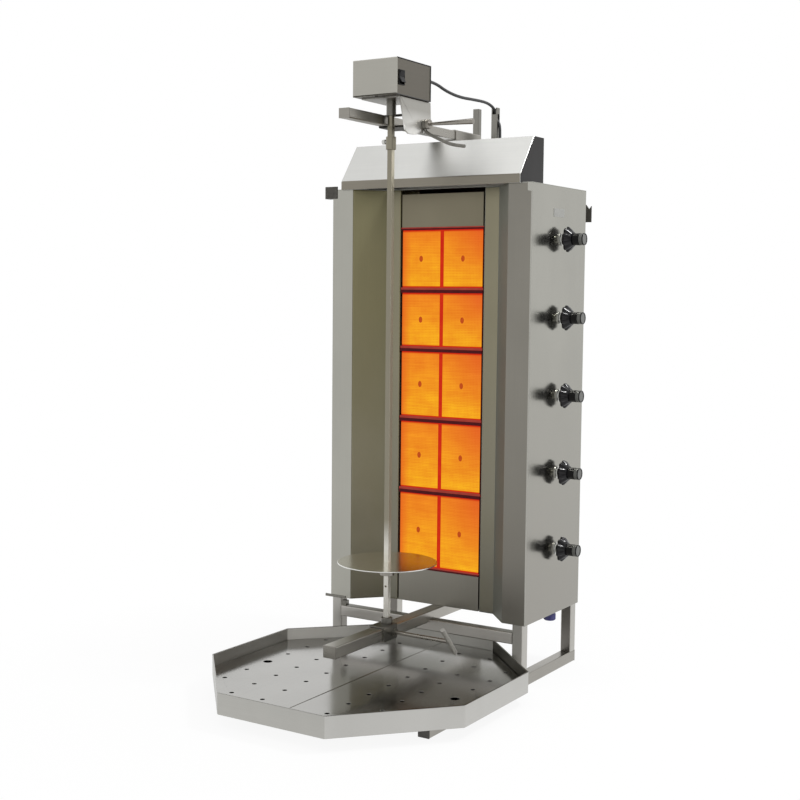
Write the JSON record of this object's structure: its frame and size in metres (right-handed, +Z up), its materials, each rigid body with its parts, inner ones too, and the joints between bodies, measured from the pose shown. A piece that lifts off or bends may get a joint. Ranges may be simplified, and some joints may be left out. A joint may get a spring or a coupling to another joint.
{
  "type": "doner kebab grill",
  "caption": "Upright gas grill with a row of ceramic burners, a motor-turned vertical spit with a meat disc, side knobs, flue hood and pull-out drip tray.",
  "frame": {"origin": "centre of the outline on the worktop, at the height the base rails stand on", "axes": "+Z up, +Y towards the back of the cabinet, +X towards the side with the gas knobs"},
  "size_m": [0.613, 0.8165, 1.299],
  "materials": {
    "brushed_steel": "brushed",
    "polished_steel": "polished",
    "hood_steel": "satin",
    "tube_steel": "satin",
    "dark_bracket": "satin",
    "ceramic": "glowing ceramic",
    "burner_metal": "heat stained",
    "black_plastic": "satin",
    "blue_plastic": "gloss",
    "brass": "plain",
    "black_rubber": "matte",
    "gear_steel": "machined"
  },
  "bodies": {
    "cabinet": {"base_rails": "tube_steel", "legs": "tube_steel", "front_crossbar": "tube_steel", "bottom_rail": "tube_steel", "tube_end_caps": "black_plastic", "side_panel_left": "brushed_steel", "side_panel_right": "brushed_steel", "wing_left": "brushed_steel", "wing_right": "brushed_steel", "back_panel": "brushed_steel", "cabinet_floor": "brushed_steel", "roof_cap": "brushed_steel", "upper_fascia": "brushed_steel", "lower_fascia": "brushed_steel", "flue_hood": "hood_steel", "burner_housings": "burner_metal", "ceramic_plaques": "ceramic", "plaque_rails": "burner_metal", "gas_pipes": "brass", "gas_taps": "brass", "knob_bezels": "polished_steel", "rear_posts": "tube_steel", "top_rail": "tube_steel", "rail_socket": "tube_steel", "cable_tail": "black_rubber", "cable_grommet": "black_rubber", "side_brackets": "dark_bracket"},
    "motor_carriage": {"motor_bracket": "brushed_steel", "motor_tray": "brushed_steel", "motor_cover": "brushed_steel", "gear_motor": "gear_steel", "output_bearing": "gear_steel", "switch_bezel": "black_plastic", "cable_gland": "black_rubber", "cover_screws": "gear_steel", "power_cable": "black_rubber"},
    "pinion": {"motor_pinion": "gear_steel"},
    "spit_drive": {"output_shaft": "polished_steel", "output_gear": "gear_steel", "spit": "polished_steel"},
    "coupling": {"coupling_sleeve": "polished_steel"},
    "coupling_knob": {"coupling_screw": "polished_steel"},
    "disc": {"meat_disc": "polished_steel"},
    "disc_knob": {"disc_screw": "polished_steel"},
    "foot_carriage": {"foot_saddle": "gear_steel", "foot_bearing": "gear_steel"},
    "foot_clamp": {"foot_clamp_screw": "polished_steel", "foot_clamp_handle": "polished_steel"},
    "top_clamp": {"top_clamp_screw": "polished_steel"},
    "top_lever": {"top_clamp_lever": "polished_steel"},
    "switch_rocker": {"rocker_switch": "black_plastic"},
    "knob_1": {"knob_1": "black_plastic"},
    "knob_2": {"knob_2": "black_plastic"},
    "knob_3": {"knob_3": "black_plastic"},
    "knob_4": {"knob_4": "black_plastic"},
    "knob_5": {"knob_5": "black_plastic"},
    "tray": {"drip_tray": "brushed_steel"},
    "insert_left": {"tray_insert_left": "brushed_steel"},
    "insert_right": {"tray_insert_right": "brushed_steel"},
    "gas_cap": {"inlet_cap": "blue_plastic"}
  },
  "joints": [
    {"name": "top_slide", "type": "slide", "parent": "cabinet", "child": "motor_carriage", "axis": [0, 1, 0], "range_m": [-0.11, 0.06], "deforming": ["power_cable"]},
    {"name": "spit_spin", "type": "hinge", "parent": "motor_carriage", "child": "spit_drive", "pos_m": [0, -0.00625, 1.2], "axis": [0, 0, 1], "continuous": true},
    {"name": "pinion_spin", "type": "hinge", "parent": "motor_carriage", "child": "pinion", "pos_m": [0, 0.02975, 1.24], "axis": [0, 0, 1], "continuous": true},
    {"name": "sleeve_lift", "type": "slide", "parent": "spit_drive", "child": "coupling", "axis": [0, 0, 1], "range_m": [0, 0.02]},
    {"name": "coupling_screw_turn", "type": "hinge", "parent": "coupling", "child": "coupling_knob", "pos_m": [-0.015, -0.00625, 1.141], "axis": [1, 0, 0], "range_deg": [-360, 0]},
    {"name": "disc_height", "type": "slide", "parent": "spit_drive", "child": "disc", "axis": [0, 0, 1], "range_m": [-0.05, 0.25]},
    {"name": "disc_screw_turn", "type": "hinge", "parent": "disc", "child": "disc_knob", "pos_m": [-0.02, -0.00625, 0.247], "axis": [1, 0, 0], "range_deg": [-360, 0]},
    {"name": "foot_slide", "type": "slide", "parent": "cabinet", "child": "foot_carriage", "axis": [0, 1, 0], "range_m": [-0.11, 0.06]},
    {"name": "foot_clamp_turn", "type": "hinge", "parent": "foot_carriage", "child": "foot_clamp", "pos_m": [0.1, -0.00625, 0.121], "axis": [1, 0, 0], "range_deg": [-180, 180]},
    {"name": "top_clamp_turn", "type": "hinge", "parent": "motor_carriage", "child": "top_clamp", "pos_m": [0.06, 0.04375, 1.1785], "axis": [1, 0, 0], "range_deg": [-180, 180]},
    {"name": "top_lever_swing", "type": "hinge", "parent": "motor_carriage", "child": "top_lever", "pos_m": [0.051, 0.04375, 1.1785], "axis": [1, 0, 0], "range_deg": [-90, 90]},
    {"name": "rocker_tilt", "type": "hinge", "parent": "motor_carriage", "child": "switch_rocker", "pos_m": [0.048, -0.05075, 1.2605], "axis": [0, 1, 0], "range_deg": [0, 16]},
    {"name": "tray_slide", "type": "slide", "parent": "cabinet", "child": "tray", "axis": [0, -1, 0], "range_m": [0, 0.4]},
    {"name": "insert_left_lift", "type": "slide", "parent": "tray", "child": "insert_left", "axis": [0, 0, 1], "range_m": [0, 0.03]},
    {"name": "insert_right_lift", "type": "slide", "parent": "tray", "child": "insert_right", "axis": [0, 0, 1], "range_m": [0, 0.03]},
    {"name": "gas_cap_turn", "type": "hinge", "parent": "cabinet", "child": "gas_cap", "pos_m": [0.228, 0.30675, 0.12], "axis": [0, 0, 1], "range_deg": [0, 360]},
    {"name": "knob_1_turn", "type": "hinge", "parent": "cabinet", "child": "knob_1", "pos_m": [0.27, 0.28175, 0.95], "axis": [1, 0, 0], "range_deg": [0, 210]},
    {"name": "knob_2_turn", "type": "hinge", "parent": "cabinet", "child": "knob_2", "pos_m": [0.27, 0.28175, 0.7825], "axis": [1, 0, 0], "range_deg": [0, 210]},
    {"name": "knob_3_turn", "type": "hinge", "parent": "cabinet", "child": "knob_3", "pos_m": [0.27, 0.28175, 0.615], "axis": [1, 0, 0], "range_deg": [0, 210]},
    {"name": "knob_4_turn", "type": "hinge", "parent": "cabinet", "child": "knob_4", "pos_m": [0.27, 0.28175, 0.4475], "axis": [1, 0, 0], "range_deg": [0, 210]},
    {"name": "knob_5_turn", "type": "hinge", "parent": "cabinet", "child": "knob_5", "pos_m": [0.27, 0.28175, 0.28], "axis": [1, 0, 0], "range_deg": [0, 210]}
  ],
  "couplings": [
    {"joint": "pinion_spin", "follows": "spit_spin", "ratio": -3},
    {"joint": "foot_slide", "follows": "top_slide", "ratio": 1}
  ]
}
